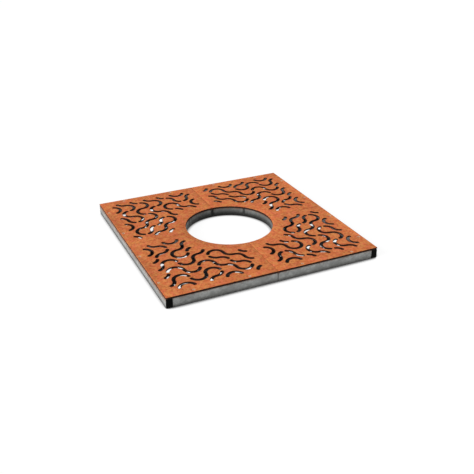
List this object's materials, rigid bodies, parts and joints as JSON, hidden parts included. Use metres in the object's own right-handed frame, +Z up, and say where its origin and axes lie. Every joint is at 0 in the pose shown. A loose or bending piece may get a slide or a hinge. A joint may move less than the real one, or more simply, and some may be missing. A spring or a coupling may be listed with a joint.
{
  "type": "tree grate",
  "caption": "Square tree grate: slotted weathering steel quarter plates on a galvanised box-section frame of two bolted halves, with a round tree opening.",
  "frame": {"origin": "centre of the tree opening, in the plane of the frame's underside, which rests on the ledge of the tree pit", "axes": "+X along the front edge to the right, +Y to the back, +Z up out of the paving"},
  "size_m": [1.2, 1.2, 0.06],
  "materials": {
    "weathering_steel": "matt orange-brown rust",
    "galvanised_steel": "hot-dip galvanised, dull grey with spangle",
    "stainless_steel": "satin stainless",
    "zinc_plate": "bright zinc plate",
    "rubber": "matt black rubber",
    "black_plastic": "matt black moulded plastic"
  },
  "bodies": {
    "left_half": {"side_tube_left": "galvanised_steel", "front_tube_left": "galvanised_steel", "back_tube_left": "galvanised_steel", "cross_tube_left": "galvanised_steel", "joint_bar_front_left": "galvanised_steel", "joint_bar_back_left": "galvanised_steel", "collar_left": "galvanised_steel", "rivet_nuts_left": "zinc_plate", "end_cap_front_left": "black_plastic", "end_cap_back_left": "black_plastic", "side_strip_left": "rubber", "front_strip_left": "rubber", "back_strip_left": "rubber", "cross_strip_left": "rubber", "joint_strip_front_left": "rubber", "joint_strip_back_left": "rubber", "ring_strip_left": "rubber", "joint_bolts": "zinc_plate", "head_washers": "zinc_plate"},
    "right_half": {"side_tube_right": "galvanised_steel", "front_tube_right": "galvanised_steel", "back_tube_right": "galvanised_steel", "cross_tube_right": "galvanised_steel", "joint_bar_front_right": "galvanised_steel", "joint_bar_back_right": "galvanised_steel", "collar_right": "galvanised_steel", "rivet_nuts_right": "zinc_plate", "end_cap_front_right": "black_plastic", "end_cap_back_right": "black_plastic", "side_strip_right": "rubber", "front_strip_right": "rubber", "back_strip_right": "rubber", "cross_strip_right": "rubber", "joint_strip_front_right": "rubber", "joint_strip_back_right": "rubber", "ring_strip_right": "rubber", "nut_washers": "zinc_plate", "joint_nuts": "zinc_plate"},
    "front_left_plate": {"plate_front_left": "weathering_steel", "screws_front_left": "stainless_steel"},
    "front_right_plate": {"plate_front_right": "weathering_steel", "screws_front_right": "stainless_steel"},
    "back_left_plate": {"plate_back_left": "weathering_steel", "screws_back_left": "stainless_steel"},
    "back_right_plate": {"plate_back_right": "weathering_steel", "screws_back_right": "stainless_steel"}
  },
  "joints": [
    {"name": "part_halves", "type": "slide", "parent": "left_half", "child": "right_half", "axis": [1, 0, 0], "range_m": [0, 0.5]},
    {"name": "lift_front_left_plate", "type": "slide", "parent": "left_half", "child": "front_left_plate", "axis": [0, 0, 1], "range_m": [0, 0.2]},
    {"name": "lift_front_right_plate", "type": "slide", "parent": "right_half", "child": "front_right_plate", "axis": [0, 0, 1], "range_m": [0, 0.2]},
    {"name": "lift_back_left_plate", "type": "slide", "parent": "left_half", "child": "back_left_plate", "axis": [0, 0, 1], "range_m": [0, 0.2]},
    {"name": "lift_back_right_plate", "type": "slide", "parent": "right_half", "child": "back_right_plate", "axis": [0, 0, 1], "range_m": [0, 0.2]}
  ]
}
